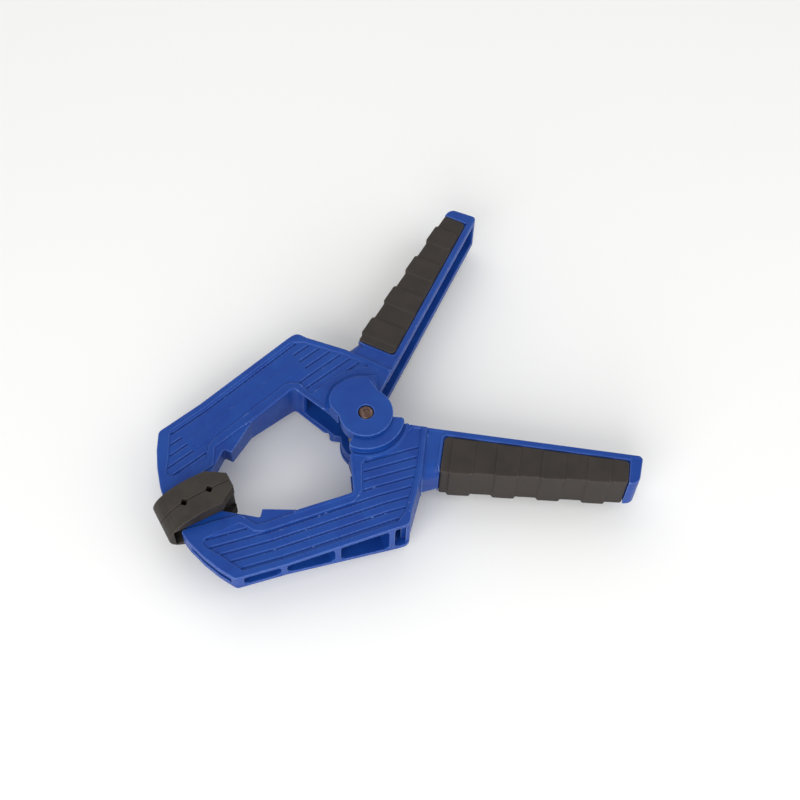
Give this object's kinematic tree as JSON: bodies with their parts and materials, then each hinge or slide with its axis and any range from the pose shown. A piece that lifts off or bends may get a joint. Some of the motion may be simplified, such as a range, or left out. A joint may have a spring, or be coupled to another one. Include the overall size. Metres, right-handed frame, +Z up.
{
  "type": "spring clamp",
  "caption": "Spring clamp with two moulded arms on one pivot, sprung shut, with soft banded grips and swivelling jaw pads.",
  "frame": {"origin": "centre of the clamp's plan, at the lowest face, with the clamp lying flat and closed", "axes": "+X from the jaws to the handles, +Y towards the left arm, +Z up along the pivot pin"},
  "size_m": [0.218, 0.1818, 0.0376],
  "materials": {
    "arm_plastic": "satin moulded nylon, royal blue",
    "grip_rubber": "matte soft rubber, dark brownish grey",
    "pad_rubber": "matte firm rubber, dark brownish grey",
    "spring_steel": "drawn spring wire, oiled",
    "pin_steel": "turned pin end, browned",
    "sleeve_plastic": "natural nylon"
  },
  "bodies": {
    "left_side": {"left_arm": "arm_plastic", "left_grip": "grip_rubber", "left_pad_pin": "spring_steel", "pivot_pin": "pin_steel", "spring_sleeve": "sleeve_plastic", "torsion_spring": "spring_steel"},
    "right_side": {"right_arm": "arm_plastic", "right_grip": "grip_rubber", "right_pad_pin": "spring_steel"},
    "left_jaw_pad": {"left_pad": "pad_rubber"},
    "right_jaw_pad": {"right_pad": "pad_rubber"}
  },
  "joints": [
    {"name": "main_pivot", "type": "hinge", "parent": "left_side", "child": "right_side", "pos_m": [0.00095, 0, 0.0188], "axis": [0, 0, 1], "range_deg": [0, 45], "stiffness_Nm_per_rad": 3, "springref_deg": -57.3, "deforming": ["torsion_spring"]},
    {"name": "left_pad_swivel", "type": "hinge", "parent": "left_side", "child": "left_jaw_pad", "pos_m": [-0.08865, 0.0064, 0.0188], "axis": [0, 0, 1], "range_deg": [0, 22.5]},
    {"name": "right_pad_swivel", "type": "hinge", "parent": "right_side", "child": "right_jaw_pad", "pos_m": [-0.08865, -0.0064, 0.0188], "axis": [0, 0, 1], "range_deg": [-22.5, 0]}
  ],
  "couplings": [
    {"joint": "left_pad_swivel", "follows": "main_pivot", "ratio": 0.5},
    {"joint": "right_pad_swivel", "follows": "main_pivot", "ratio": -0.5}
  ]
}
